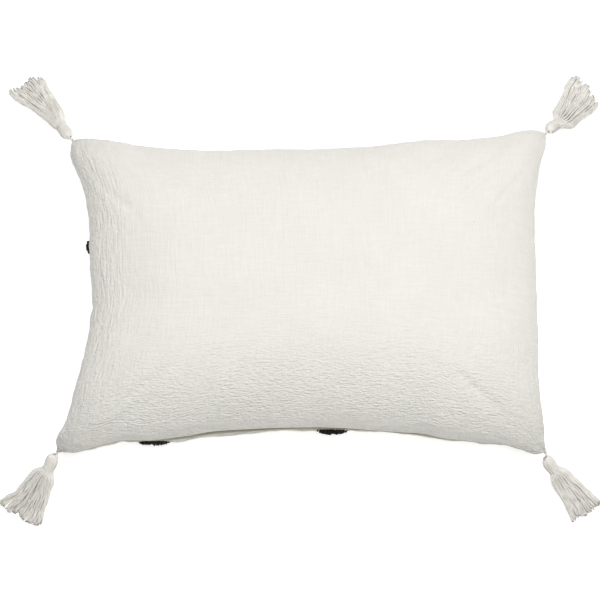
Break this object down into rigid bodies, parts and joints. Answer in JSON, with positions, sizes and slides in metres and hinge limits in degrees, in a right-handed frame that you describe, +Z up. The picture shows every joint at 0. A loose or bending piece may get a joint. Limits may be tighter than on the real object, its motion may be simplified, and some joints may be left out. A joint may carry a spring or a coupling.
{
  "type": "throw pillow",
  "caption": "Rectangular lumbar throw pillow with tasselled corners, tufted front, plain back, concealed zip and a stuffed insert, lying face down.",
  "frame": {"origin": "on the floor, in the middle of the flat patch of the front face that the pillow rests on", "axes": "+X to the right along the long side, +Y away from the zipped edge, +Z up through the plain back"},
  "size_m": [0.7444, 0.5725, 0.1402],
  "materials": {
    "slub_cotton": "matt, uneven slub weave",
    "black_yarn": "matt looped yarn",
    "tassel_yarn": "matt soft-spun yarn",
    "ticking": "smooth plain weave",
    "fibre_fill": "fluffy fibre",
    "zip_tape": "fine twill",
    "zip_coil": "satin",
    "zip_metal": "satin off-white paint"
  },
  "bodies": {
    "cover": {"back_panel": "slub_cotton", "front_panel": "slub_cotton", "insert_shell_back": "ticking", "insert_shell_front": "ticking", "insert_filling": "fibre_fill", "tuft_row1_1": "black_yarn", "tuft_row1_2": "black_yarn", "tuft_row2_2": "black_yarn", "tuft_row2_3": "black_yarn", "tuft_row3_1": "black_yarn", "tuft_row3_2": "black_yarn", "tuft_row3_3": "black_yarn", "tuft_row4_1": "black_yarn", "tuft_row4_2": "black_yarn", "tuft_row4_3": "black_yarn", "tuft_row5_1": "black_yarn", "tuft_row5_2": "black_yarn", "zip_tape_back": "zip_tape", "zip_tape_front": "zip_tape", "zip_coil_back": "zip_coil", "zip_coil_front": "zip_coil", "zip_top_stop_back": "zip_metal", "zip_top_stop_front": "zip_metal", "zip_bottom_stop": "zip_metal"},
    "zip_slider": {"zip_slider": "zip_metal"},
    "zip_pull": {"zip_pull": "zip_metal"},
    "top_left_cord": {"top_left_tassel_cord": "tassel_yarn"},
    "top_left_tassel": {"top_left_tassel_yarn": "tassel_yarn", "top_left_tassel_wrap": "tassel_yarn"},
    "top_right_cord": {"top_right_tassel_cord": "tassel_yarn"},
    "top_right_tassel": {"top_right_tassel_yarn": "tassel_yarn", "top_right_tassel_wrap": "tassel_yarn"},
    "bottom_left_cord": {"bottom_left_tassel_cord": "tassel_yarn"},
    "bottom_left_tassel": {"bottom_left_tassel_yarn": "tassel_yarn", "bottom_left_tassel_wrap": "tassel_yarn"},
    "bottom_right_cord": {"bottom_right_tassel_cord": "tassel_yarn"},
    "bottom_right_tassel": {"bottom_right_tassel_yarn": "tassel_yarn", "bottom_right_tassel_wrap": "tassel_yarn"}
  },
  "joints": [
    {"name": "zip_slide", "type": "slide", "parent": "cover", "child": "zip_slider", "axis": [1, 0, 0], "range_m": [-0.294, 0]},
    {"name": "zip_pull_swing", "type": "hinge", "parent": "zip_slider", "child": "zip_pull", "pos_m": [0.142, -0.16965, 0.066], "axis": [0, 0, -1], "range_deg": [0, 175]},
    {"name": "top_left_cord_swing", "type": "hinge", "parent": "cover", "child": "top_left_cord", "pos_m": [-0.285, 0.194, 0.046], "axis": [0, 0, 1], "range_deg": [-60, 60]},
    {"name": "top_left_tassel_flop", "type": "hinge", "parent": "top_left_cord", "child": "top_left_tassel", "pos_m": [-0.28788, 0.19769, 0.04424], "axis": [0.788, 0.6157, 0], "range_deg": [-60, 90]},
    {"name": "top_right_cord_swing", "type": "hinge", "parent": "cover", "child": "top_right_cord", "pos_m": [0.297, 0.202, 0.046], "axis": [0, 0, 1], "range_deg": [-60, 60]},
    {"name": "top_right_tassel_flop", "type": "hinge", "parent": "top_right_cord", "child": "top_right_tassel", "pos_m": [0.29994, 0.20551, 0.04399], "axis": [0.766, -0.6428, 0], "range_deg": [-60, 90]},
    {"name": "bottom_left_cord_swing", "type": "hinge", "parent": "cover", "child": "bottom_left_cord", "pos_m": [-0.298, -0.193, 0.046], "axis": [0, 0, 1], "range_deg": [-60, 60]},
    {"name": "bottom_left_tassel_flop", "type": "hinge", "parent": "bottom_left_cord", "child": "bottom_left_tassel", "pos_m": [-0.30056, -0.19679, 0.04397], "axis": [-0.829, 0.5592, 0], "range_deg": [-60, 90]},
    {"name": "bottom_right_cord_swing", "type": "hinge", "parent": "cover", "child": "bottom_right_cord", "pos_m": [0.2925, -0.193, 0.046], "axis": [0, 0, 1], "range_deg": [-60, 60]},
    {"name": "bottom_right_tassel_flop", "type": "hinge", "parent": "bottom_right_cord", "child": "bottom_right_tassel", "pos_m": [0.29531, -0.19659, 0.04395], "axis": [-0.788, -0.6157, 0], "range_deg": [-60, 90]}
  ]
}
